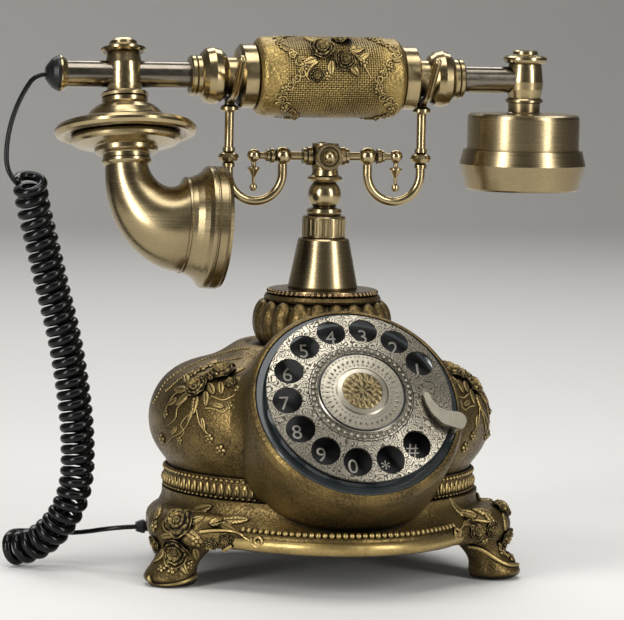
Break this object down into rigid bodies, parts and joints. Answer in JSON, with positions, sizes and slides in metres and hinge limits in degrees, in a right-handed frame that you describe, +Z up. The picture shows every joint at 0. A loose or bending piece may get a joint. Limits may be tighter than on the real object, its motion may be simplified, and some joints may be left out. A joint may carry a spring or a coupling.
{
  "type": "rotary telephone",
  "caption": "Antique style desk telephone: swelling cast body on scrolled feet, leaning finger dial, column with hooked cradle, handset with bent horn mouthpiece and a curly cord.",
  "frame": {"origin": "on the table, under the middle of the phone's box without its cord", "axes": "+Z up, -Y the front with the dial, X along the handset with the mouthpiece at -X"},
  "size_m": [0.3066, 0.1883, 0.2756],
  "materials": {
    "antique_gold": "cast resin with rubbed antique gold paint, bright high points and dark recesses",
    "antique_brass": "antiqued brass, brushed on the cups and smooth on the cradle",
    "dark_nickel": "dark nickel plated tube",
    "satin_silver": "satin silver with engraved scrolls",
    "bezel_grey": "smooth grey ring",
    "black_plastic": "glossy black",
    "black_rubber": "matte black",
    "cord_jacket": "glossy black jacket",
    "plain_steel": "plain steel",
    "board_green": "glass fibre board"
  },
  "bodies": {
    "base": {"body_shell": "antique_gold", "plinth": "antique_gold", "foot_front_left": "antique_gold", "foot_front_right": "antique_gold", "foot_back_left": "antique_gold", "foot_back_right": "antique_gold", "foot_pads": "black_rubber", "bottom_plate": "black_plastic", "bottom_screws": "plain_steel", "circuit_board": "board_green", "hook_switch": "black_plastic", "ringer": "black_plastic", "line_jack": "black_plastic", "cord_bush": "black_plastic", "neck_bulb": "antique_gold", "column_disc": "antique_brass", "column_cone": "antique_brass", "fluted_collar": "antique_brass", "plunger_spring": "plain_steel", "bezel_ring": "bezel_grey", "number_plate": "black_plastic", "dial_housing": "black_plastic", "cord_lead": "cord_jacket", "cord_curls": "cord_jacket", "cord_tail": "cord_jacket"},
    "cradle": {"cradle_stem": "antique_brass", "cradle_hub": "antique_brass", "crossbar": "antique_brass", "hook_left": "antique_brass", "hook_right": "antique_brass", "fork_left": "antique_brass", "fork_right": "antique_brass", "pendants": "antique_brass"},
    "handset": {"handle_core": "dark_nickel", "handle_sleeve": "antique_gold", "left_ferrule": "antique_brass", "right_ferrule": "antique_brass", "transmitter_arm": "dark_nickel", "receiver_arm": "dark_nickel", "end_flange": "antique_brass", "cord_grommet": "black_rubber", "transmitter_ball": "antique_brass", "transmitter_cap_nut": "antique_brass", "transmitter_dome": "antique_brass", "drip_flange": "antique_brass", "lower_flange": "antique_brass", "horn_elbow": "antique_brass", "horn_rim": "antique_brass", "microphone_capsule": "black_plastic", "receiver_ball": "antique_brass", "receiver_cap_nut": "antique_brass", "receiver_cup": "antique_brass", "receiver_ring": "antique_brass", "receiver_capsule": "black_plastic"},
    "dial": {"finger_plate": "satin_silver", "dial_medallion": "satin_silver", "dial_shaft": "plain_steel"},
    "governor": {"governor_pinion": "plain_steel"},
    "finger_stop": {"finger_stop": "satin_silver"}
  },
  "joints": [
    {"name": "dial_turn", "type": "hinge", "parent": "base", "child": "dial", "pos_m": [0, -0.05975, 0.095], "axis": [0, 0.8111, -0.585], "range_deg": [0, 300], "stiffness_Nm_per_rad": 0.02},
    {"name": "governor_spin", "type": "hinge", "parent": "base", "child": "governor", "pos_m": [0, -0.0429, 0.11836], "axis": [0, 0.8111, -0.585], "range_deg": [-1500, 0]},
    {"name": "handset_lift", "type": "slide", "parent": "base", "child": "handset", "axis": [0, 0, 1], "range_m": [0, 0.09], "deforming": ["cord_lead", "cord_curls"]},
    {"name": "cradle_plunger", "type": "slide", "parent": "base", "child": "cradle", "axis": [0, 0, 1], "range_m": [0, 0.004], "deforming": ["plunger_spring"]},
    {"name": "finger_stop_press", "type": "slide", "parent": "base", "child": "finger_stop", "axis": [0, 0.8111, -0.585], "range_m": [0, 0.001], "stiffness_N_per_m": 500}
  ],
  "couplings": [
    {"joint": "governor_spin", "follows": "dial_turn", "ratio": -5},
    {"joint": "cradle_plunger", "follows": "handset_lift", "ratio": 0.0444}
  ]
}
